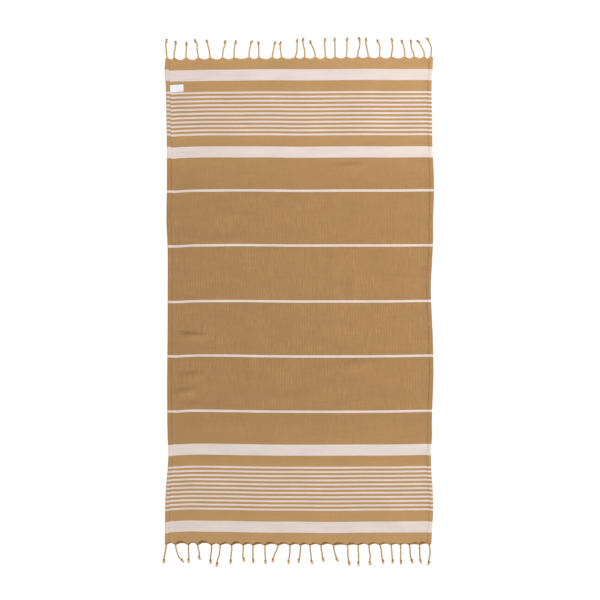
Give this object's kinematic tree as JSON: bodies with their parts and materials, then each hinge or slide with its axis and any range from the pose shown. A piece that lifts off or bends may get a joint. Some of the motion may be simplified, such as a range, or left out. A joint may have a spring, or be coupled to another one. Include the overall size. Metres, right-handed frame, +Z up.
{
  "type": "hammam towel",
  "caption": "Flat-woven cotton hammam towel laid out flat, striped across, with hemmed long sides and a twisted, knotted fringe at both ends.",
  "frame": {"origin": "middle of the towel's bounding box, on the surface that it lies on", "axes": "+X across the towel, to the right as its face is seen from above; +Y along it, towards the end with the label; +Z up, out of the face"},
  "size_m": [0.9234, 1.7992, 0.0092],
  "materials": {
    "cotton_cloth": "flat-woven cotton, tan with cream weft stripes, matt",
    "cotton_yarn": "twisted cotton warp yarn, tan, matt",
    "label_satin": "white polyester satin, slight sheen"
  },
  "bodies": {
    "root": {"cloth": "cotton_cloth", "fringe_head": "cotton_yarn", "fringe_foot": "cotton_yarn", "label": "label_satin"}
  },
  "joints": []
}
